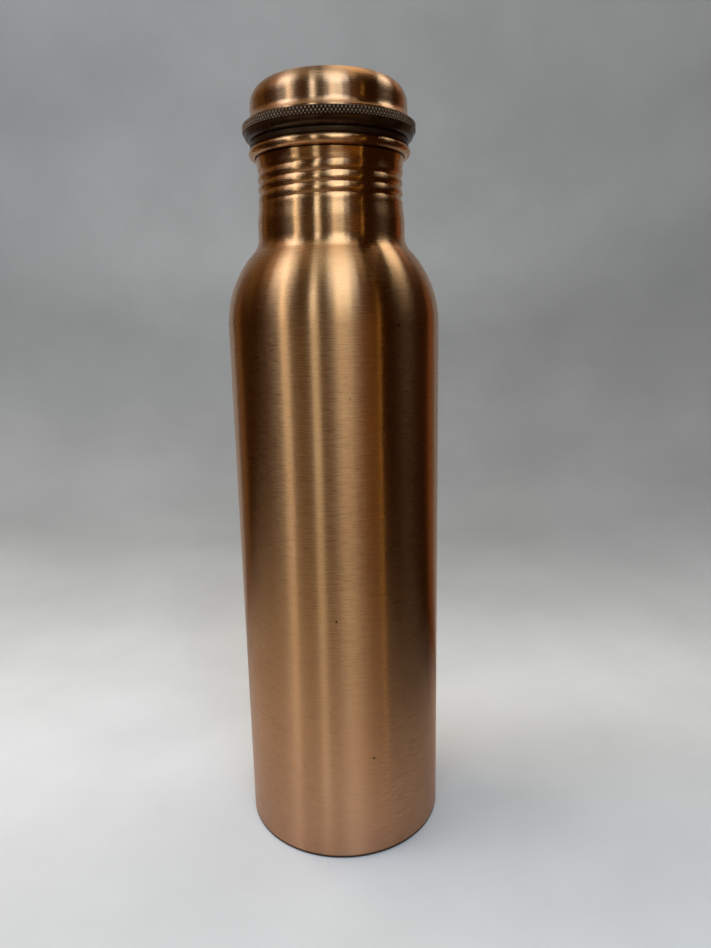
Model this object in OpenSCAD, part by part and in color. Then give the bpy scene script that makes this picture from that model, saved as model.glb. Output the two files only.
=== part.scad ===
// Copper water bottle with a screw-in stopper lid.
//
// A thin copper shell, open at a curled mouth and closed by a pressed base disc,
// takes a black moulded stopper whose thread runs in the thread rolled into the
// neck. A drawn copper cap covers the stopper and a soft gasket seals it on the lip.
//
// Millimetres, +Z up. The origin is the centre of the circle the bottle stands on.

/* [Body] */
// Outside diameter of the body
body_d = 73; // [71:0.5:76]
// Height at which the straight wall ends and the shoulder starts
shoulder_z = 187.5; // [150:0.5:189]
// Radius of the shoulder's arc
shoulder_r = 35; // [34:0.5:37]
// Radius of the hollow between shoulder and neck
neck_fillet_r = 7; // [5:0.5:8]
// Outside diameter of the plain part of the neck
neck_d = 49.8; // [49.4:0.1:50.4]
// Thickness of the copper sheet
sheet = 0.7; // [0.6:0.05:0.75]

/* [Mouth] */
// Height of the top of the curled lip
mouth_z = 244.35; // [244:0.05:247]
// Radius of the curl's outside
curl_r = 1.45; // [1.4:0.05:1.6]

/* [Thread] */
// Height gained by one turn of the lid, eight threads to the inch
pitch = 3.175; // [3:0.025:3.3]
// Depth of the rolled thread
thread_depth = 0.6; // [0.5:0.05:0.65]
// Turns of thread rolled into the neck
neck_turns = 3.35; // [2.75:0.1:3.35]
// Turns of thread on the stopper
stopper_turns = 2; // [1.5:0.1:2.1]
// Clearance between the two threads, measured along the radius
thread_gap = 0.2; // [0.15:0.05:0.25]

/* [Lid] */
// Outside diameter of the copper cap's wall
cap_d = 51.8; // [51.4:0.1:52.4]
// Height of the copper cap's flat top
cap_top_z = 264.3; // [262:0.1:270]
// Radius of the cap's rounded top edge
cap_corner_r = 7; // [4:0.5:7.5]
// Diameter over the points of the knurl
knurl_d = 57.2; // [56.8:0.1:58]
// Diamonds round the knurl
knurl_count = 147; // [100:1:150]
// Depth of the knurl
knurl_depth = 0.35; // [0.2:0.05:0.4]
// Length of the stopper's plug below its flange
plug_h = 17.4; // [16:0.1:18]
// Wall thickness of the stopper
stopper_wall = 2; // [1.6:0.1:2.4]

/* [Base] */
// How far the base disc is set up inside the wall
base_recess = 3.3; // [2.5:0.1:6]

/* [Hidden] */

$fn = 96;
arc_steps = 14;         // segments in a rounded stretch of an outline
small_steps = 6;        // segments in a small rounding
turn_steps = 60;        // segments in a turn of thread
overlap = 0.1;          // how far joined solids run into each other

// Body
body_r = body_d / 2;
edge_r = 0.5;
neck_r = neck_d / 2;
shoulder_x = body_r - shoulder_r;
fillet_x = neck_r + neck_fillet_r;
shoulder_reach = shoulder_r + neck_fillet_r;
fillet_z = shoulder_z + sqrt(pow(shoulder_reach, 2) - pow(fillet_x - shoulder_x, 2));
shoulder_turn = acos((fillet_x - shoulder_x) / shoulder_reach);

// Mouth: the sheet runs up the neck, over the lip and down outside
lip_step = 0.2;                     // the neck under the curl is this much inside the plain neck
curl_in_r = curl_r - sheet;
curl_z = mouth_z - curl_r;
lip_r = neck_r - lip_step;
curl_x = lip_r - sheet + curl_r;
curl_end = -110;                    // angle at which the curled edge stops beside the neck
curl_shadow_h = 1.7;                // the neck's step is hidden this far below the curl's centre
lip_foot_z = curl_z - curl_shadow_h;

// Rolled thread in the neck: a groove outside, and the ridge it raises inside
thread_step = 0.6;                  // the threaded stretch is this much inside the plain neck
thread_start_a = 180;
thread_r = neck_r - thread_step;
thread_top_z = 238.5;
groove_half = 0.95;
groove_floor_half = 0.35;
groove_top_land = 0.765;            // plain stretch above the groove's upper end
groove_low_land = 0.6;              // plain stretch below its lower end
neck_taper_h = 6;                   // over which the neck widens below the thread
groove_start_z = thread_top_z - neck_turns * pitch - groove_top_land;
thread_low_z = groove_start_z - groove_low_land;
plain_z = thread_low_z - neck_taper_h;
neck_bore_r = thread_r - sheet;
neck_crest_r = neck_bore_r - thread_depth;

// Stopper: a flange with a knurled edge, over a hollow plug with a thread
gasket_space = 2.05;                // between the lip and the flange
flange_h = 5.1;
seat_z = mouth_z + gasket_space;    // underside of the flange
flange_top_z = seat_z + flange_h;
flange_round_r = 2.7;
flange_seat_past_curl = 0.45;       // how far the flat underside reaches past the curl's centre
flange_round_start = -70;           // angle at which the flange's rounding starts
flange_foot_r = curl_x + flange_seat_past_curl;
knurl_h = 2.5;
knurl_rows = 3;
knurl_low_z = flange_top_z - knurl_h;
knurl_r = knurl_d / 2;
knurl_root_r = knurl_r - knurl_depth;
knurl_bite = 0.5;                   // how deep the knurled ring is rooted in the flange
plug_low_z = seat_z - plug_h;
plug_root_r = neck_crest_r - thread_gap;
plug_crest_r = neck_bore_r - thread_gap;
plug_bore_r = plug_root_r - stopper_wall;
plug_lead = 0.6;                    // chamfer at the plug's lower end
plug_ridge_half = 1.1;
plug_ridge_top_half = 0.55;
web_h = 1.5;                        // the disc that closes the plug
skirt_h = 1.2;                      // the sloping foot inside the cap's flare
collar_h = 6.5;                     // the collar that the cap fits over

// Cap
cap_r = cap_d / 2;
flare_r = 3.2;
flare_x = cap_r + flare_r;
flare_rise = 3.4;                   // height of the flare's centre over the flange
flare_z = flange_top_z + flare_rise;
knurl_margin = 1.3;                 // the flare stops this much inside the knurl's points
flare_edge_r = knurl_r - knurl_margin;
fit_gap = 0.1;                      // between the cap and the stopper inside it
inside_r = cap_r - sheet - fit_gap;

// Gasket
gasket_gap = 0.05;
gasket_low_z = mouth_z + gasket_gap;
gasket_top_z = seat_z - gasket_gap;
gasket_clearance = 0.3;             // round the plug
gasket_past_curl = 0.85;            // how far it reaches past the curl's centre
gasket_in_r = plug_root_r + gasket_clearance;
gasket_out_r = curl_x + gasket_past_curl;
gasket_round_r = 0.5;

// Points along an arc about (x, z), from angle a to angle b
function arc(x, z, r, a, b, steps) =
    [for (i = [0 : steps]) let (t = a + (b - a) * i / steps) [x + r * cos(t), z + r * sin(t)]];

// Points along a smooth change from radius r0 at height z0 to r1 at z1
function ease(r0, z0, r1, z1, steps) =
    [for (i = [0 : steps]) let (t = i / steps)
        [r0 + (r1 - r0) * (1 - cos(180 * t)) / 2, z0 + (z1 - z0) * t]];

// One side of the shell below the curl, base first; inset is measured inwards from the outside
function shell_side(inset) = concat(
    [[body_r - inset, shoulder_z]],
    arc(shoulder_x, shoulder_z, shoulder_r - inset, 0, shoulder_turn, arc_steps),
    arc(fillet_x, fillet_z, neck_fillet_r + inset, 180 + shoulder_turn, 180, small_steps),
    ease(neck_r - inset, plain_z, thread_r - inset, thread_low_z, small_steps),
    ease(thread_r - inset, thread_top_z, lip_r - inset, lip_foot_z, small_steps));

function backwards(points) = [for (i = [len(points) - 1 : -1 : 0]) points[i]];

// The section of a thread, as [radius, height] pairs: a flat-topped ridge or groove
function band(root_r, root_half, top_r, top_half) = let (
    section = [[root_r, -root_half], [top_r, -top_half], [top_r, top_half], [root_r, root_half]])
    top_r > root_r ? section : backwards(section);

// A section swept up a right-hand helix from start_z. At each end it shrinks towards its
// root, so that the thread runs out smoothly over a quarter of a turn.
module helix(section, start_z, turns) {
    root_r = section[0][0];
    count = len(section);
    last = round(turns * turn_steps);
    fade = turn_steps / 4;
    least = 0.04;
    function size(i) = max(least, min(1, min(i, last - i) / fade));
    points = [for (i = [0 : last]) let (a = 360 * i / turn_steps, s = size(i))
        for (p = section) let (r = root_r + (p[0] - root_r) * s)
            [r * cos(a), r * sin(a), start_z + pitch * i / turn_steps + p[1]]];
    sides = [for (i = [0 : last - 1], k = [0 : count - 1])
        let (n = (k + 1) % count, low = i * count, high = low + count)
        for (face = [[low + k, low + n, high + n], [low + k, high + n, high + k]]) face];
    first_end = [[for (k = [count - 1 : -1 : 0]) k]];
    last_end = [[for (k = [0 : count - 1]) last * count + k]];
    polyhedron(points, concat(sides, first_end, last_end));
}

// A ring whose outside is covered in diamonds, alternate points of a grid standing proud
module knurled_ring(low_z) {
    around = 2 * knurl_count;
    rows = knurl_rows + 1;
    inner_r = knurl_root_r - 2 * knurl_bite;
    function out(i, j) = (i + j) % 2 == 0 ? knurl_r : knurl_root_r;
    points = concat(
        [for (j = [0 : knurl_rows], i = [0 : around - 1]) let (a = 360 * i / around)
            [out(i, j) * cos(a), out(i, j) * sin(a), low_z + knurl_h * j / knurl_rows]],
        [for (j = [0, 1], i = [0 : around - 1]) let (a = 360 * i / around)
            [inner_r * cos(a), inner_r * sin(a), low_z + knurl_h * j]]);
    // one square of the grid, split along the diagonal between its two hollows
    function split(a, b, c, d, even) = even ? [[a, d, b], [b, d, c]] : [[a, c, b], [a, d, c]];
    outside = [for (j = [0 : knurl_rows - 1], i = [0 : around - 1])
        let (n = (i + 1) % around, a = j * around + i, b = j * around + n)
        for (face = split(a, b, b + around, a + around, (i + j) % 2 == 0)) face];
    low_in = rows * around;
    high_in = low_in + around;
    high_out = knurl_rows * around;
    rest = [for (i = [0 : around - 1]) let (n = (i + 1) % around) for (face = [
        [i, n, low_in + n], [i, low_in + n, low_in + i],
        [high_out + i, high_in + n, high_out + n], [high_out + i, high_in + i, high_in + n],
        [low_in + i, low_in + n, high_in + n], [low_in + i, high_in + n, high_in + i]]) face];
    polyhedron(points, concat(outside, rest));
}

module bottle_body() {
    curl = concat(
        arc(curl_x, curl_z, curl_in_r, 180, curl_end, arc_steps),
        arc(curl_x, curl_z, curl_r, curl_end, 180, arc_steps));
    outline = concat(
        [[body_r - sheet, 0]],
        arc(body_r - edge_r, edge_r, edge_r, -90, 0, small_steps),
        shell_side(0),
        curl,
        backwards(shell_side(sheet)));
    groove = band(thread_r + overlap, groove_half, thread_r - thread_depth, groove_floor_half);
    ridge = band(neck_bore_r + overlap, groove_half, neck_crest_r, groove_floor_half);
    color("#b87048")
    difference() {
        union() {
            rotate_extrude() polygon(outline);
            rotate([0, 0, thread_start_a]) helix(ridge, groove_start_z, neck_turns);
        }
        rotate([0, 0, thread_start_a]) helix(groove, groove_start_z, neck_turns);
    }
}

module base_disc() {
    disc_r = body_r - sheet;
    bend_r = 1.2;                   // inside radius of the bend at the disc's rim
    bend_x = disc_r - sheet - bend_r;
    bend_z = base_recess - bend_r;
    // a flat disc, bent down at its rim into a flange that reaches the ground
    outline = concat(
        [[0, base_recess]],
        arc(bend_x, bend_z, bend_r, 90, 0, small_steps),
        [[disc_r - sheet, 0], [disc_r, 0]],
        arc(bend_x, bend_z, bend_r + sheet, 0, 90, small_steps),
        [[0, base_recess + sheet]]);
    color("#a8623e")
    rotate_extrude() polygon(outline);
}

module stopper() {
    // the flange's rounded edge ends just inside the hollows of the knurl
    edge_r = knurl_root_r - overlap;
    core_r = knurl_root_r - knurl_bite;
    collar_r = inside_r - stopper_wall;
    collar_top_z = flange_top_z + collar_h;
    web_top_z = flange_top_z + web_h;
    outline = concat(
        [[plug_bore_r, plug_low_z], [plug_root_r - plug_lead, plug_low_z],
         [plug_root_r, plug_low_z + plug_lead], [plug_root_r, seat_z], [flange_foot_r, seat_z]],
        arc(edge_r - flange_round_r, knurl_low_z - overlap, flange_round_r,
            flange_round_start, 0, arc_steps),
        [[edge_r, knurl_low_z + overlap], [core_r, knurl_low_z + overlap], [core_r, flange_top_z]],
        [[flare_edge_r - sheet, flange_top_z], [inside_r, flange_top_z + skirt_h],
         [inside_r, collar_top_z], [collar_r, collar_top_z], [collar_r, web_top_z],
         [0, web_top_z], [0, flange_top_z], [plug_bore_r, flange_top_z]]);
    ridge = band(plug_root_r - overlap, plug_ridge_half, plug_crest_r, plug_ridge_top_half);
    color("#262320") {
        rotate_extrude() polygon(outline);
        knurled_ring(knurl_low_z);
        // half a turn on from the neck's groove and a whole pitch up, so between its turns
        rotate([0, 0, thread_start_a + 180])
            helix(ridge, groove_start_z + pitch, stopper_turns);
    }
}

module cap_shell() {
    corner_x = cap_r - cap_corner_r;
    corner_z = cap_top_z - cap_corner_r;
    // the flare curves out to 45 degrees and goes on straight to its edge
    outer = arc(flare_x, flare_z, flare_r, 225, 180, arc_steps);
    inner = arc(flare_x, flare_z, flare_r + sheet, 180, 225, arc_steps);
    out_start = outer[0];
    in_end = inner[arc_steps];
    outline = concat(
        [[in_end[0] + in_end[1] - flange_top_z, flange_top_z], [flare_edge_r, flange_top_z],
         [flare_edge_r, out_start[0] + out_start[1] - flare_edge_r]],
        outer,
        arc(corner_x, corner_z, cap_corner_r, 0, 90, arc_steps),
        [[0, cap_top_z], [0, cap_top_z - sheet]],
        arc(corner_x, corner_z, cap_corner_r - sheet, 90, 0, arc_steps),
        inner);
    color("#c07a4e")
    rotate_extrude() polygon(outline);
}

module gasket() {
    x = gasket_out_r - gasket_round_r;
    outline = concat(
        [[gasket_in_r, gasket_low_z]],
        arc(x, gasket_low_z + gasket_round_r, gasket_round_r, -90, 0, small_steps),
        arc(x, gasket_top_z - gasket_round_r, gasket_round_r, 0, 90, small_steps),
        [[gasket_in_r, gasket_top_z]]);
    color("#1c1a19")
    rotate_extrude() polygon(outline);
}

bottle_body();
base_disc();
stopper();
cap_shell();
gasket();
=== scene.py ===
"""Copper water bottle with a screw-in stopper lid: the looks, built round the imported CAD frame."""

import math

import bpy
import numpy as np
from mathutils import Matrix, Vector


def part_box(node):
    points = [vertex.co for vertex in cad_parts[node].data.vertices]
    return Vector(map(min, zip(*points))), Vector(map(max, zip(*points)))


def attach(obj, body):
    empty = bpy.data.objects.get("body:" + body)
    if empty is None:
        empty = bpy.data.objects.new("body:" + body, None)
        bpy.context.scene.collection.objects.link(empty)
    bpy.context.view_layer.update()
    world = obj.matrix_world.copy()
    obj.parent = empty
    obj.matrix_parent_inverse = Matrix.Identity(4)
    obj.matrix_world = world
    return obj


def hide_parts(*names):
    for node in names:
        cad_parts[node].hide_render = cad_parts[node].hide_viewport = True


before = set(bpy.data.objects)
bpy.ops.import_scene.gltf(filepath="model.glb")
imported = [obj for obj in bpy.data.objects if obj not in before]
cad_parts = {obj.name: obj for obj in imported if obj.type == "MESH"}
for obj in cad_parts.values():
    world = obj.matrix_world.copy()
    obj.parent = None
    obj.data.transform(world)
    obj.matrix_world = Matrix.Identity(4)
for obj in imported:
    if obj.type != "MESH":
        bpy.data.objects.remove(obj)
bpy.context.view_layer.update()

MM = 0.001


def node_box(node):
    """Lowest and highest corner of a CAD node, in millimetres."""
    low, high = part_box(node)
    return low / MM, high / MM


# ---------------------------------------------------------------- sizes, in millimetres
_, body_high = node_box("bottle_body")
stopper_low, stopper_high = node_box("stopper")
cap_low, cap_high = node_box("cap_shell")
gasket_low, gasket_high = node_box("gasket")
_, base_high = node_box("base_disc")

SHEET = 0.7
ROUND_STEPS = 24
thread_clearance = 0.2
gasket_gap = 0.05
cap_gap = 0.1

# body
body_r = body_high.x
shoulder_z = 187.5
shoulder_r = 35.0
neck_fillet_r = 7.0
neck_r = 24.9
foot_round = 0.8

# mouth
curl_r = 1.45
curl_end = -109
lip_inset = 0.2
lip_foot_drop = 1.7
mouth_z = body_high.z
curl_z = mouth_z - curl_r
lip_r = neck_r - lip_inset
curl_x = lip_r - SHEET + curl_r
lip_foot_z = curl_z - lip_foot_drop

# rolled thread
pitch = 3.175
thread_inset = 0.6
thread_r = neck_r - thread_inset
thread_depth = 0.6
thread_top_z = 238.5
groove_start_z = 227.1
groove_start_a = math.pi
groove_turns = 3.35
groove_above = 1.25
groove_below = 1.9
groove_round = 0.12
ridge_half = 0.95
thread_low_z = 226.5
plain_z = 220.5
neck_bore_r = thread_r - SHEET
neck_crest_r = neck_bore_r - thread_depth
fade_turns = 0.25
outer_row = 0.2
inner_row = 0.3

# stopper
seat_z = gasket_high.z + gasket_gap
flange_top_z = cap_low.z
knurl_r = stopper_high.x
knurl_h = 2.5
knurl_low_z = flange_top_z - knurl_h
knurl_depth = 0.42
knurl_count = 147
knurl_row = 0.88
knurl_fade_low = 0.15
knurl_fade_high = 0.12
knurl_left_low = 0.3
knurl_left_high = 0.4
flange_round = 2.7
flange_past_curl = 0.45
flange_foot_r = curl_x + flange_past_curl
plug_low_z = stopper_low.z
plug_wall = 2.0
plug_root_r = neck_crest_r - thread_clearance
plug_crest_r = neck_bore_r - thread_clearance
plug_bore_r = plug_root_r - plug_wall
plug_lead = 0.6
plug_ridge_half = 0.85
plug_turns = 2.0
plug_thread_top_z = 239.0
web_h = 1.5
collar_h = 6.5
collar_wall = 2.0
collar_chamfer = 1.2

# gasket
gasket_clearance = 0.3
gasket_round = 0.5

# base disc
base_gap = 0.01
base_bend_r = 1.2
base_chamfer_z = 0.05
base_chamfer_r = 0.1

# cap
cap_r = 25.9
cap_top_z = cap_high.z
cap_corner_r = 7.0
flare_r = 3.2
flare_rise = 3.4
flare_x = cap_r + flare_r
flare_z = flange_top_z + flare_rise
flare_edge_r = cap_high.x
collar_r = cap_r - SHEET - cap_gap

# columns round a lathed piece
COLUMNS = 288


# ---------------------------------------------------------------- outlines and lathed meshes
def arc(x, z, r, start, end, steps=ROUND_STEPS):
    """Points along an arc about (x, z), from one angle to the other, in degrees."""
    angles = [math.radians(start + (end - start) * i / steps) for i in range(steps + 1)]
    return [(x + r * math.cos(a), z + r * math.sin(a)) for a in angles]


def ease(r0, z0, r1, z1, steps):
    """Points along a smooth change from radius r0 at height z0 to r1 at z1."""
    return [
        (r0 + (r1 - r0) * (1 - math.cos(math.pi * i / steps)) / 2, z0 + (z1 - z0) * i / steps)
        for i in range(steps + 1)
    ]


def line(start, end, spacing):
    """Points from start to end, about that far apart, without the end point."""
    steps = max(1, round(math.dist(start, end) / spacing))
    return [
        (start[0] + (end[0] - start[0]) * i / steps, start[1] + (end[1] - start[1]) * i / steps)
        for i in range(steps)
    ]


def smooth_step(t):
    t = np.clip(t, 0, 1)
    return t * t * (3 - 2 * t)


def turns_from(start_z, start_angle, angle, z):
    """For each point, the height above the nearest turn of a right-hand helix and that turn's place
    along the helix, counted in turns from its start."""
    ahead = ((angle - start_angle) / (2 * math.pi)) % 1
    turn = np.round((z - start_z) / pitch - ahead) + ahead
    return z - start_z - turn * pitch, turn


def run_in_and_out(turn, turns):
    """1 along a thread, falling to 0 over a quarter turn at both of its ends."""
    return smooth_step(turn / fade_turns) * smooth_step((turns - turn) / fade_turns)


def rolled_groove(angle, r, z):
    """The groove rolled into the outside of the neck. The sheet bulges between its turns."""
    above, turn = turns_from(groove_start_z, groove_start_a, angle, z)
    width = np.where(above > 0, groove_above, groove_below)
    from_bottom = np.sqrt(above**2 + groove_round**2) - groove_round
    dip = (1 - np.clip(from_bottom / width, 0, 1)) ** 2
    return r - thread_depth * dip * run_in_and_out(turn, groove_turns)


def raised_ridge(angle, r, z):
    """The ridge that the groove raises inside the neck."""
    above, turn = turns_from(groove_start_z, groove_start_a, angle, z)
    rise = 1 - smooth_step(np.abs(above) / ridge_half)
    return r - thread_depth * rise * run_in_and_out(turn, groove_turns)


def plug_ridge(angle, r, z):
    """The moulded thread on the stopper's plug, half a pitch out of step with the neck's."""
    above, turn = turns_from(groove_start_z + pitch * 1.5, groove_start_a, angle, z)
    rise = 1 - smooth_step(np.abs(above) / plug_ridge_half)
    return r + (plug_crest_r - plug_root_r) * rise * run_in_and_out(turn, plug_turns)


def lathe(name, outline, columns=COLUMNS, bends=(), sharp=35):
    """A closed outline of (radius, height) turned about the axis. bends lists (low, high, function):
    outline points whose index is in that range get the radius that the function gives."""
    points = np.array(outline, float)
    count = len(points)
    angle = np.arange(columns) * 2 * math.pi / columns
    radius = np.repeat(points[:, :1], columns, axis=1)
    height = np.repeat(points[:, 1:], columns, axis=1)
    turned = np.repeat(angle[None, :], count, axis=0)
    for low, high, bend in bends:
        rows = slice(low, high)
        radius[rows] = bend(turned[rows], radius[rows], height[rows])
    spun = np.stack([radius * np.cos(turned), radius * np.sin(turned), height], axis=2) * MM
    vertices = []
    rings = []
    for row in range(count):
        if points[row, 0] < 1e-6:
            rings.append([len(vertices)] * columns)
            vertices.append(spun[row, 0])
        else:
            rings.append(list(range(len(vertices), len(vertices) + columns)))
            vertices.extend(spun[row])
    faces = []
    for row in range(count):
        lower, upper = rings[row], rings[(row + 1) % count]
        for i in range(columns):
            n = (i + 1) % columns
            corners = list(dict.fromkeys([lower[i], lower[n], upper[n], upper[i]]))
            if len(corners) > 2:
                faces.append(corners)
    return mesh_object(name, vertices, faces, sharp)


def mesh_object(name, vertices, faces, sharp=35):
    mesh = bpy.data.meshes.new(name)
    mesh.from_pydata([tuple(v) for v in vertices], [], faces)
    mesh.validate()
    mesh.shade_smooth()
    mesh.set_sharp_from_angle(angle=math.radians(sharp))
    made = bpy.data.objects.new(name, mesh)
    bpy.context.scene.collection.objects.link(made)
    return made


# ---------------------------------------------------------------- node helpers
class Nodes:
    """A material's node tree, with short calls for the nodes used here."""

    def __init__(self, name):
        self.material = bpy.data.materials.new(name)
        self.material.use_nodes = True
        self.tree = self.material.node_tree
        self.tree.nodes.clear()
        self.output = self.add("ShaderNodeOutputMaterial")
        self.shader = self.add("ShaderNodeBsdfPrincipled")
        self.link(self.shader.outputs["BSDF"], self.output.inputs["Surface"])
        self.place = self.add("ShaderNodeTexCoord").outputs["Object"]

    def add(self, kind, **settings):
        node = self.tree.nodes.new(kind)
        for key, value in settings.items():
            setattr(node, key, value)
        return node

    def link(self, source, target):
        self.tree.links.new(source, target)

    def stretched(self, across, along):
        """Object coordinates with that many features to the metre across the axis and along it."""
        mapping = self.add("ShaderNodeMapping")
        mapping.inputs["Scale"].default_value = (across, across, along)
        self.link(self.place, mapping.inputs["Vector"])
        return mapping.outputs["Vector"]

    def noise(self, across, along, detail=3.0, roughness=0.55, shift=0.0):
        texture = self.add("ShaderNodeTexNoise", noise_dimensions="4D")
        texture.inputs["W"].default_value = shift
        texture.inputs["Scale"].default_value = 1.0
        texture.inputs["Detail"].default_value = detail
        texture.inputs["Roughness"].default_value = roughness
        self.link(self.stretched(across, along), texture.inputs["Vector"])
        return texture.outputs["Fac"]

    def ramp(self, source, *stops):
        """A colour ramp through (position, grey or colour) stops."""
        node = self.add("ShaderNodeValToRGB")
        elements = node.color_ramp.elements
        while len(elements) < len(stops):
            elements.new(0.5)
        for element, (position, colour) in zip(elements, stops):
            element.position = position
            element.color = (*colour, 1) if isinstance(colour, tuple) else (colour, colour, colour, 1)
        self.link(source, node.inputs["Fac"])
        return node.outputs["Color"]

    def spread(self, source, low, high, to_low, to_high):
        node = self.add("ShaderNodeMapRange")
        for name, value in (("From Min", low), ("From Max", high), ("To Min", to_low), ("To Max", to_high)):
            node.inputs[name].default_value = value
        self.link(source, node.inputs["Value"])
        return node.outputs["Result"]

    def mix(self, share, first, second, blend="MIX"):
        node = self.add("ShaderNodeMix", data_type="RGBA", blend_type=blend)
        sockets = {"Factor": node.inputs[0], "A": node.inputs[6], "B": node.inputs[7]}
        for key, value in (("Factor", share), ("A", first), ("B", second)):
            if isinstance(value, (int, float)):
                sockets[key].default_value = value if key == "Factor" else (value, value, value, 1)
            elif isinstance(value, tuple):
                sockets[key].default_value = (*value, 1)
            else:
                self.link(value, sockets[key])
        return node.outputs[2]

    def maths(self, operation, first, second):
        node = self.add("ShaderNodeMath", operation=operation)
        for socket, value in zip(node.inputs, (first, second)):
            if isinstance(value, (int, float)):
                socket.default_value = value
            else:
                self.link(value, socket)
        return node.outputs["Value"]

    def part(self, axis):
        """One coordinate of the place shaded, in metres."""
        node = self.add("ShaderNodeSeparateXYZ")
        self.link(self.place, node.inputs["Vector"])
        return node.outputs[axis]

    def radius(self):
        """Distance from the axis in metres."""
        node = self.add("ShaderNodeVectorMath", operation="LENGTH")
        self.link(self.stretched(1, 0), node.inputs[0])
        return node.outputs["Value"]

    def bump(self, source, depth, below=None, strength=1.0):
        node = self.add("ShaderNodeBump")
        node.inputs["Strength"].default_value = strength
        node.inputs["Distance"].default_value = depth
        self.link(source, node.inputs["Height"])
        if below is not None:
            self.link(below, node.inputs["Normal"])
        return node.outputs["Normal"]


# ---------------------------------------------------------------- materials
# darkens the foot's edge and a thin band under the lip: painted shadow
PAINTED_SHADOW_LINE = (0.04, 0.02, 0.012)
PIT = (0.05, 0.025, 0.015)
# dims the copper towards the foot: painted shade
FOOT_PAINTED_SHADE = (0.74, 0.75, 1.0)

# heights on the body, in millimetres
polish_low_z = 180
polish_high_z = 212
# the copper is painted darker below this height: painted shade
painted_foot_shade_top_z = 95
# the foot's edge is darkened up to these heights: a painted contact shadow
foot_shadow_low_z = 0.8
foot_shadow_high_z = 1.5
# a thin band just under the lip's curl is darkened: painted shade
under_lip_z = curl_z - curl_r
lip_line_low_z = under_lip_z - 0.6
lip_line_z = under_lip_z - 0.4
lip_line_high_z = under_lip_z - 0.04


def up_to_neck(n, low, high):
    """A value that goes from low on the straight wall to high on the neck."""
    return n.spread(n.part("Z"), polish_low_z * MM, polish_high_z * MM, low, high)


def body_painted_shade(n, colour):
    """Duller and pinker copper towards the foot, painted shade for the dim floor that it mirrors there; a
    painted contact shadow along the foot's edge; and a painted shade line just under the lip.
    """
    # painted shade: dimmer, pinker copper towards the foot
    painted_foot_shade = n.spread(n.part("Z"), 0, painted_foot_shade_top_z * MM, 1.0, 0.0)
    colour = n.mix(1.0, colour, n.mix(painted_foot_shade, 1.0, FOOT_PAINTED_SHADE), "MULTIPLY")
    # painted contact shadow along the foot's edge, and painted shade in a thin band just under the lip's
    # curl
    foot = n.spread(n.part("Z"), foot_shadow_low_z * MM, foot_shadow_high_z * MM, 1.0, 0.0)
    above = n.spread(n.part("Z"), lip_line_low_z * MM, lip_line_z * MM, 0.0, 1.0)
    below = n.spread(n.part("Z"), lip_line_high_z * MM, under_lip_z * MM, 1.0, 0.0)
    shadow_line_mask = n.maths("MAXIMUM", foot, n.maths("MULTIPLY", above, below))
    return n.mix(shadow_line_mask, colour, PAINTED_SHADOW_LINE)


def copper(name, tint, dark_tint, roughness, anisotropy, brush_depth, grain_depth, seed, on_body=False):
    """Copper brushed round the axis: fine lines, blotches of light tarnish, small stains and pits.
    roughness is its (lowest, highest); the depths of the brushing and the grain are in millimetres."""
    n = Nodes(name)
    fine = n.noise(60, 9000, 2.0, 0.6, seed)
    lines = n.noise(30, 2200, 3.0, 0.6, seed + 3)
    brushed = n.mix(0.35, fine, lines)
    blotches = n.noise(28, 22, 4.0, 0.6, seed + 7)
    clouds = n.noise(9, 6, 2.0, 0.5, seed + 11)
    pits = n.noise(420, 420, 1.0, 0.5, seed + 13)
    specks = n.ramp(pits, (0.205, 1.0), (0.235, 0.0))
    stains = n.ramp(n.noise(150, 150, 3.0, 0.6, seed + 19), (0.70, 0.0), (0.82, 0.55))

    tarnish = n.ramp(n.mix(0.5, blotches, clouds), (0.36, 0.0), (0.66, 1.0))
    colour = n.mix(tarnish, tint, dark_tint)
    streaks = n.ramp(brushed, (0.3, 0.83), (0.7, 1.0))
    colour = n.mix(1.0, colour, streaks, "MULTIPLY")
    colour = n.mix(stains, colour, tuple(part * 0.45 for part in dark_tint))
    colour = n.mix(specks, colour, PIT)
    if on_body:
        colour = body_painted_shade(n, colour)
    n.link(colour, n.shader.inputs["Base Color"])

    scratches = n.noise(240, 30000, 1.0, 0.5, seed + 17)
    matt_lines = n.ramp(n.mix(0.04, scratches, blotches), (0.40, 0.0), (0.58, 1.0))
    grain = n.noise(1200, 3200, 1.0, 0.5, seed + 23)
    if on_body:
        matt_lines = n.mix(up_to_neck(n, 0.0, 0.9), matt_lines, 0.5)
        grain = n.maths("MULTIPLY", grain, up_to_neck(n, 1.0, 0.2))
        brushed = n.maths("MULTIPLY", brushed, up_to_neck(n, 1.0, 0.5))
    rough = n.spread(matt_lines, 0.0, 1.0, *roughness)
    if on_body:
        rough = n.maths("MULTIPLY", rough, up_to_neck(n, 1.0, 0.8))
    n.link(rough, n.shader.inputs["Roughness"])

    n.shader.inputs["Metallic"].default_value = 1.0
    n.shader.inputs["Anisotropic"].default_value = anisotropy
    n.shader.inputs["Anisotropic Rotation"].default_value = 0.25
    tangent = n.add("ShaderNodeTangent", direction_type="RADIAL", axis="Z")
    n.link(tangent.outputs["Tangent"], n.shader.inputs["Tangent"])

    relief = n.bump(brushed, brush_depth * MM)
    relief = n.bump(grain, grain_depth * MM, relief)
    relief = n.bump(pits, 0.004 * MM, relief, 0.3)
    n.link(relief, n.shader.inputs["Normal"])
    return n.material


# near black painted shade in the knurl's hollows and a lighter painted highlight on its points
KNURL_PAINTED_SHADE = (0.004, 0.002, 0.001)
KNURL_PAINTED_HIGHLIGHT = (0.26, 0.17, 0.11)
WARM_SHINE = (1.0, 0.52, 0.27, 1)


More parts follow.
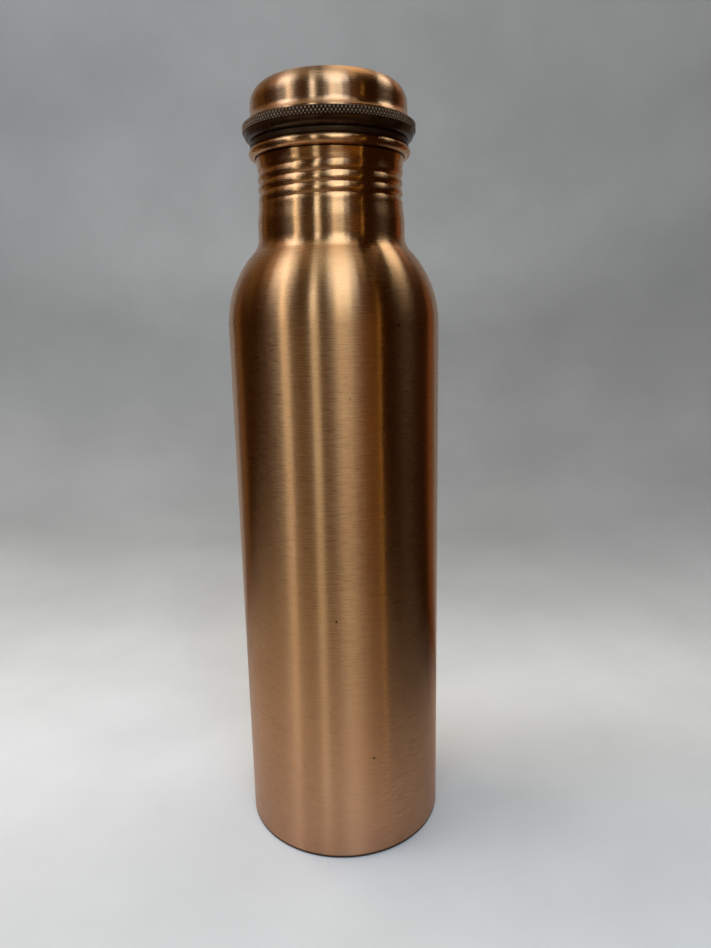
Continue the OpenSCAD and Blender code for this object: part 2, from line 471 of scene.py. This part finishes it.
def knurl_painted_light(n, shade):
    """Painted shade, near black, in the knurl's hollows and painted highlights on its lighter points."""
    low, middle = (knurl_r - knurl_depth) * MM, (knurl_r - knurl_depth / 2) * MM
    hollow_shade_mask = n.spread(n.radius(), low, middle, 1.0, 0.0)
    on_knurl = n.spread(n.part("Z"), (knurl_low_z - 0.1) * MM, knurl_low_z * MM, 0.0, 1.0)
    points = n.spread(n.radius(), middle, knurl_r * MM, 0.0, 1.0)
    return n.mix(points, n.mix(n.maths("MULTIPLY", hollow_shade_mask, on_knurl), shade, KNURL_PAINTED_SHADE), KNURL_PAINTED_HIGHLIGHT)


def black_moulding(name, colour, worn, roughness, seed, knurled=False):
    """Dark brown-black moulding with a fine grain, slightly dusty and rubbed; a knurled one gets painted
    shade in its hollows and painted highlights on its points.
    """
    n = Nodes(name)
    grain = n.noise(2600, 2600, 2.0, 0.5, seed)
    rub = n.noise(160, 160, 4.0, 0.6, seed + 5)
    shade = n.mix(n.ramp(rub, (0.45, 0.0), (0.75, 1.0)), colour, worn)
    if knurled:
        shade = knurl_painted_light(n, shade)
    n.link(shade, n.shader.inputs["Base Color"])
    n.link(n.spread(rub, 0.3, 0.7, roughness - 0.06, roughness + 0.1), n.shader.inputs["Roughness"])
    n.link(n.bump(grain, 0.006 * MM), n.shader.inputs["Normal"])
    n.shader.inputs["Specular Tint"].default_value = WARM_SHINE
    return n.material


copper_body = copper(
    "brushed copper, body", tint=(0.87, 0.455, 0.195), dark_tint=(0.74, 0.36, 0.145),
    roughness=(0.26, 0.41), anisotropy=1.0, brush_depth=0.0009, grain_depth=0.0015, seed=1.0, on_body=True)
copper_cap = copper(
    "brushed copper, cap", tint=(0.88, 0.48, 0.235), dark_tint=(0.74, 0.38, 0.18),
    roughness=(0.25, 0.30), anisotropy=1.0, brush_depth=0.0005, grain_depth=0.0003, seed=21.0)
copper_base = copper(
    "pressed copper, base", tint=(0.72, 0.37, 0.18), dark_tint=(0.50, 0.25, 0.13),
    roughness=(0.28, 0.42), anisotropy=0.5, brush_depth=0.004, grain_depth=0.001, seed=41.0)
plastic_black = black_moulding(
    "black plastic, stopper", colour=(0.024, 0.009, 0.0035), worn=(0.045, 0.021, 0.010),
    roughness=0.25, seed=61.0, knurled=True)
rubber_black = black_moulding(
    "black rubber, gasket", colour=(0.020, 0.009, 0.0035), worn=(0.030, 0.014, 0.007),
    roughness=0.35, seed=81.0)


# ---------------------------------------------------------------- pieces
def add_piece(made, material, body, node):
    made.data.materials.append(material)
    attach(made, body)
    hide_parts(node)


def body_side(inset):
    """One side of the body's sheet from the shoulder to the lip's foot, and where the thread lies."""
    shoulder_x = body_r - shoulder_r
    fillet_x = neck_r + neck_fillet_r
    reach = shoulder_r + neck_fillet_r
    fillet_z = shoulder_z + math.sqrt(reach**2 - (fillet_x - shoulder_x) ** 2)
    turn = math.degrees(math.acos((fillet_x - shoulder_x) / reach))
    lower = arc(shoulder_x, shoulder_z, shoulder_r - inset, 0, turn, 40)
    hollow = arc(fillet_x, fillet_z, neck_fillet_r + inset, 180 + turn, 180, 20)
    taper = ease(neck_r - inset, plain_z, thread_r - inset, thread_low_z, 12)
    spacing = inner_row if inset else outer_row
    threaded = line((thread_r - inset, thread_low_z), (thread_r - inset, thread_top_z), spacing)
    top = ease(thread_r - inset, thread_top_z, lip_r - inset, lip_foot_z, 8)
    return lower + hollow[1:], taper[:-1] + threaded + top


def build_body():
    outer_low, outer_high = body_side(0)
    inner_low, inner_high = body_side(SHEET)
    foot = arc(body_r - foot_round, foot_round, foot_round, -90, 0, 8)
    wall = line((body_r, foot_round), (body_r, shoulder_z), 30)[1:]
    curl = arc(curl_x, curl_z, curl_r - SHEET, 180, curl_end, 20)
    curl += arc(curl_x, curl_z, curl_r, curl_end, 180, 40)
    inner_wall = line((body_r - SHEET, shoulder_z), (body_r - SHEET, 0), 30)[1:]
    outline = foot + wall + outer_low
    groove_rows = (len(outline), len(outline) + len(outer_high), rolled_groove)
    outline = outline + outer_high + curl
    ridge_rows = (len(outline), len(outline) + len(inner_high), raised_ridge)
    outline = outline + inner_high[::-1] + inner_low[::-1] + inner_wall + [(body_r - SHEET, 0)]
    return lathe("bottle_shell", outline, bends=[groove_rows, ridge_rows])


def build_base():
    disc_r = body_r - SHEET - base_gap
    bend_x = disc_r - SHEET - base_bend_r
    under_z = base_high.z - SHEET
    over_z = base_high.z
    bend_z = under_z - base_bend_r
    centre_r = 2
    outline = [(0, under_z)] + line((centre_r, under_z), (bend_x, under_z), 4)
    outline += arc(bend_x, bend_z, base_bend_r, 90, 0, 10)
    outline += [(disc_r - SHEET, base_chamfer_z), (disc_r - SHEET + base_chamfer_r, 0), (disc_r, 0)]
    outline += arc(bend_x, bend_z, base_bend_r + SHEET, 0, 90, 12)
    outline += line((bend_x, over_z), (centre_r, over_z), 4)[1:] + [(0, over_z)]
    return lathe("base_plate", outline, 192)


def knurl(angle, r, z):
    """Diamond knurl: two sets of slanting grooves that cross, shallower at the ring's two edges."""
    around = angle * knurl_count / (2 * math.pi)
    up = (z - knurl_low_z) / (2 * knurl_row)
    first = np.abs((around + up) % 1 - 0.5) * 2
    second = np.abs((around - up) % 1 - 0.5) * 2
    point = 1 - np.maximum(first, second)
    low = smooth_step((z - knurl_low_z) / knurl_fade_low + knurl_left_low)
    high = smooth_step((flange_top_z - z) / knurl_fade_high + knurl_left_high)
    fade = low * high
    return r - knurl_depth * (1 - 2 * np.minimum(point, 0.5) * fade)


def build_stopper():
    edge_r = knurl_r - knurl_depth
    plug = [(plug_bore_r, plug_low_z)]
    plug += [(plug_root_r - plug_lead, plug_low_z)]
    plug += line((plug_root_r, plug_low_z + plug_lead), (plug_root_r, plug_thread_top_z), 0.25)
    flange = [(plug_root_r, plug_thread_top_z), (plug_root_r, seat_z), (flange_foot_r, seat_z)]
    flange += arc(edge_r - flange_round, knurl_low_z, flange_round, -70, -4, 10)
    rim = line((knurl_r, knurl_low_z), (knurl_r, flange_top_z), 0.125) + [(knurl_r, flange_top_z)]
    collar_bore_r = collar_r - collar_wall
    collar_top_z = flange_top_z + collar_h
    web_top_z = flange_top_z + web_h
    top = [(flare_edge_r - SHEET, flange_top_z), (collar_r, flange_top_z + collar_chamfer)]
    top += [(collar_r, collar_top_z), (collar_bore_r, collar_top_z)]
    top += [(collar_bore_r, web_top_z), (0, web_top_z), (0, flange_top_z), (plug_bore_r, flange_top_z)]
    outline = plug + flange
    knurl_rows = (len(outline), len(outline) + len(rim), knurl)
    outline = outline + rim + top
    return lathe("stopper_moulding", outline, knurl_count * 8, [(2, len(plug), plug_ridge), knurl_rows], 50)


def build_cap():
    corner_x = cap_r - cap_corner_r
    corner_z = cap_top_z - cap_corner_r
    outer = arc(flare_x, flare_z, flare_r, 225, 180, 20)
    inner = arc(flare_x, flare_z, flare_r + SHEET, 180, 225, 16)
    low = flange_top_z
    outline = [(inner[-1][0] + inner[-1][1] - low, low), (flare_edge_r, low)]
    outline += [(flare_edge_r, outer[0][0] + outer[0][1] - flare_edge_r)] + outer
    outline += arc(corner_x, corner_z, cap_corner_r, 0, 90, 40)
    outline += line((corner_x, cap_top_z), (0, cap_top_z), 2)[1:] + [(0, cap_top_z)]
    outline += [(0, cap_top_z - SHEET)]
    outline += arc(corner_x, corner_z, cap_corner_r - SHEET, 90, 0, 24) + inner[:-1]
    return lathe("cap_cover", outline)


def build_gasket():
    in_r = plug_root_r + gasket_clearance
    out_r = gasket_high.x
    x = out_r - gasket_round
    outline = [(in_r, gasket_low.z)]
    outline += arc(x, gasket_low.z + gasket_round, gasket_round, -90, 0, 8)
    outline += arc(x, gasket_high.z - gasket_round, gasket_round, 0, 90, 8)
    outline += [(in_r, gasket_high.z)]
    return lathe("seal_ring", outline, 192)


add_piece(build_body(), copper_body, "bottle", "bottle_body")
add_piece(build_base(), copper_base, "bottle", "base_disc")
add_piece(build_stopper(), plastic_black, "lid", "stopper")
add_piece(build_cap(), copper_cap, "lid", "cap_shell")
add_piece(build_gasket(), rubber_black, "seal", "gasket")


# ---------------------------------------------------------------- stage
# the sweep's painted shade as greys, from the floor 10 cm in front of the bottle (0) back and up the wall
# (1), darker where less light falls
FLOOR_PAINTED_SHADE = ((0.04, 0.85), (0.15, 0.86), (0.26, 0.61))
WALL_PAINTED_SHADE = ((0.36, 0.455), (0.5, 0.415), (0.69, 0.39), (0.83, 0.53))
PAPER_TINT = (1.0, 0.985, 0.965)
PAPER_ROUGHNESS = 0.8

# the sweep's section, in metres
flat_r = 0.27
bend_r = 0.40
wall_top_z = 1.6

# what the copper mirrors of it: angles in degrees from +Y towards +X, reach on the floor in metres
mirrored_wall_half = 46
shortest_reach_at = 100
shortest_reach = 0.115
longest_reach = 0.215


def sweep_material():
    """Pale paper with painted shade: greyer up the wall and darkest at its right side, where less light
    falls, and a faint mottle of painted shading from crumples.
    """
    n = Nodes("pale sweep")
    along = n.spread(n.maths("ADD", n.part("Z"), n.part("Y")), -0.1, 1.1, 0.0, 1.0)
    shade = n.mix(1.0, n.ramp(along, *FLOOR_PAINTED_SHADE, *WALL_PAINTED_SHADE), PAPER_TINT, "MULTIPLY")
    on_wall = n.spread(along, 0.12, 0.3, 0.0, 1.0)
    # painted shade: the wall darkens towards its right side, away from the light
    right = n.mix(on_wall, 1.0, n.spread(n.part("X"), -0.1, 0.4, 1.0, 0.70))
    # faint mottle: painted shading of the paper's crumples
    crumple_shade = n.ramp(n.noise(9, 9, 4.0, 0.55, 5.0), (0.3, 0.9), (0.7, 1.06))
    colour = n.mix(1.0, shade, right, "MULTIPLY")
    n.link(n.mix(1.0, colour, crumple_shade, "MULTIPLY"), n.shader.inputs["Base Color"])
    n.shader.inputs["Roughness"].default_value = PAPER_ROUGHNESS
    return n.material


def bowl_section():
    """The stage's section as (radius, height) in metres: a floor that curves up into a wall."""
    flat_steps, bend_steps, wall_steps = 36, 20, 4
    section = [(flat_r * i / flat_steps, 0.0) for i in range(flat_steps + 1)]
    quarter = [math.radians(90 * i / bend_steps) for i in range(1, bend_steps + 1)]
    section += [(flat_r + bend_r * math.sin(a), bend_r * (1 - math.cos(a))) for a in quarter]
    rise = wall_top_z - bend_r
    return section + [(flat_r + bend_r, bend_r + rise * i / wall_steps) for i in range(1, wall_steps + 1)]


def is_mirrored(x, y):
    """Whether the copper mirrors the sweep at a place: the wall behind the bottle, and the floor near it,
    which reaches least far on the bottle's right."""
    around = math.atan2(x, y)
    share = (1 - math.cos(around - math.radians(shortest_reach_at))) / 2
    reach = shortest_reach + (longest_reach - shortest_reach) * share
    return abs(around) < math.radians(mirrored_wall_half) or math.hypot(x, y) < reach


def build_floor():
    """A pale round sweep. What lies in front of the bottle shows only to the camera, so that the copper
    mirrors a dark room there."""
    section = bowl_section()
    columns = 120
    angles = [2 * math.pi * column / columns for column in range(columns)]
    vertices = [(r * math.sin(a), r * math.cos(a), z) for r, z in section for a in angles]
    groups = {"sweep_back": [], "sweep_front": []}
    for row in range(len(section) - 1):
        low, high = row * columns, (row + 1) * columns
        for c in range(columns):
            n = (c + 1) % columns
            corners = [low + c, high + c, high + n, low + n]
            x, y = (sum(vertices[k][axis] for k in corners) / 4 for axis in range(2))
            groups["sweep_back" if is_mirrored(x, y) else "sweep_front"].append(corners)
    paper = sweep_material()
    for name, faces in groups.items():
        part = mesh_object(name, vertices, faces)
        part.data.materials.append(paper)
    front = bpy.data.objects["sweep_front"]
    front.visible_glossy = False
    front.visible_diffuse = False
    front.visible_shadow = False


LIGHTS_FACE = Vector((0, 0, 0.2))


def soft_light(name, azimuth, low, high, width, glow, distance=1.1, in_metal=True):
    """A flat light that faces the bottle's shoulder. azimuth is measured from the camera's side towards
    +X; low and high are the elevations of its ends and width is its angle, all in degrees. glow is the
    red, green and blue brightness of its face. Metal doesn't mirror it unless in_metal."""
    a = math.radians(azimuth)
    middle = math.radians((low + high) / 2)
    out = Vector((math.sin(a) * math.cos(middle), -math.cos(a) * math.cos(middle), math.sin(middle)))
    light = bpy.data.lights.new(name, "AREA")
    light.shape = "RECTANGLE"
    light.size = 2 * distance * math.tan(math.radians(width) / 2)
    light.size_y = 2 * distance * math.tan(math.radians(high - low) / 2)
    light.energy = max(glow) * math.pi * light.size * light.size_y
    light.color = [part / max(glow) for part in glow]
    made = bpy.data.objects.new(name, light)
    made.location = LIGHTS_FACE + out * distance
    made.rotation_euler = (-out).to_track_quat("-Z", "Y").to_euler()
    made.visible_camera = False
    made.visible_glossy = in_metal
    bpy.context.scene.collection.objects.link(made)


ROOM_GLOW = (0.02, 0.009, 0.003, 1)


def build_world():
    """A nearly black, warm room."""
    world = bpy.data.worlds.new("room")
    world.use_nodes = True
    background = world.node_tree.nodes["Background"]
    background.inputs["Color"].default_value = ROOM_GLOW
    background.inputs["Strength"].default_value = 1.0
    bpy.context.scene.world = world


build_floor()
build_world()
# the room's windows and lamps, from left to right as the copper mirrors them
soft_light("dim wall left", -120, 20, 56, 26, (0.17, 0.115, 0.045))
soft_light("shelf far left", -126, -30, 18, 14, (0.12, 0.072, 0.026))
soft_light("curtain left", -97, 36, 58, 18, (0.62, 0.555, 0.55))
soft_light("window left, high", -76, 37, 58, 20, (2.9, 3.7, 5.0))
soft_light("window left, edge", -61.5, 20, 37, 5, (1.6, 1.98, 2.05))
soft_light("window left, low", -55.5, 1, 20, 5, (2.5, 2.7, 2.82))
soft_light("window left, sill", -50.5, -22, 20, 5, (0.85, 0.957, 1.02))
soft_light("shelf left", -37, -22, 0, 18, (0.16, 0.125, 0.051))
soft_light("lamp left, high", -23, 20, 38, 6, (3.2, 4.16, 5.5))
soft_light("lamp left, low", -20, -22, 20, 8, (0.8, 0.915, 0.922))
soft_light("shelf front", -7, -22, 0, 13, (0.1, 0.052, 0.013))
soft_light("window front, sill", 17, -22, 0, 22, (0.32, 0.187, 0.038))
soft_light("window front, low", 4, 1, 20, 9, (0.62, 0.562, 0.41))
soft_light("window front", 11, 20, 38, 16, (2.5, 3.22, 3.84))
soft_light("window front, high", 13.5, 38, 58, 27, (1.95, 2.7, 4.0))
soft_light("ceiling left", -90, 60, 78, 40, (0.35, 0.34, 0.28), 0.9)
soft_light("ceiling front", -4, 60, 78, 32, (1.05, 1.35, 1.5), 0.9)
soft_light("ceiling right", 30, 60, 78, 30, (0.95, 0.988, 0.96), 0.9)
soft_light("shelf right", 35.5, -22, 0, 15, (0.28, 0.146, 0.026))
soft_light("door gap", 47.5, -35, 18, 1.3, (1.3, 0.9, 0.28))
soft_light("window right", 117, 39, 52, 20, (2.5, 2.95, 3.2))
soft_light("shelf far right", 128, -30, 18, 14, (0.15, 0.062, 0.018))
soft_light("wall right", 137, 30, 50, 18, (0.36, 0.21, 0.12), 0.55)
soft_light("lamp behind", 152, 55, 75, 24, (1.8, 1.5, 1.0), 0.7)
soft_light("sky on the paper", -112, 20, 72, 65, (2.05, 1.90, 1.62), in_metal=False)
soft_light("room on the paper", 75, 25, 80, 60, (0.42, 0.38, 0.30), in_metal=False)


# ---------------------------------------------------------------- camera
camera_place = (0, -0.25783, 0.19223)
camera_yaw = 0.0252728
camera_down = 0.2240702
camera_roll = -0.0194762
camera_lens = 27.266


def build_camera():
    """The photograph's view: 26 cm in front of the bottle's axis and as high as its shoulder."""
    level = math.cos(camera_down)
    forward = Vector((math.sin(camera_yaw) * level, math.cos(camera_yaw) * level, -math.sin(camera_down)))
    right = Vector((math.cos(camera_yaw), -math.sin(camera_yaw), 0))
    up = right.cross(forward)
    turned = Matrix((
        math.cos(camera_roll) * right + math.sin(camera_roll) * up,
        -math.sin(camera_roll) * right + math.cos(camera_roll) * up,
        -forward,
    )).transposed()
    data = bpy.data.cameras.new("camera")
    data.sensor_width = 36.0
    data.lens = camera_lens
    data.clip_start = 0.01
    camera = bpy.data.objects.new("camera", data)
    camera.matrix_world = Matrix.Translation(camera_place) @ turned.to_4x4()
    bpy.context.scene.collection.objects.link(camera)
    bpy.context.scene.camera = camera


build_camera()
bpy.context.scene.view_settings.view_transform = "Standard"
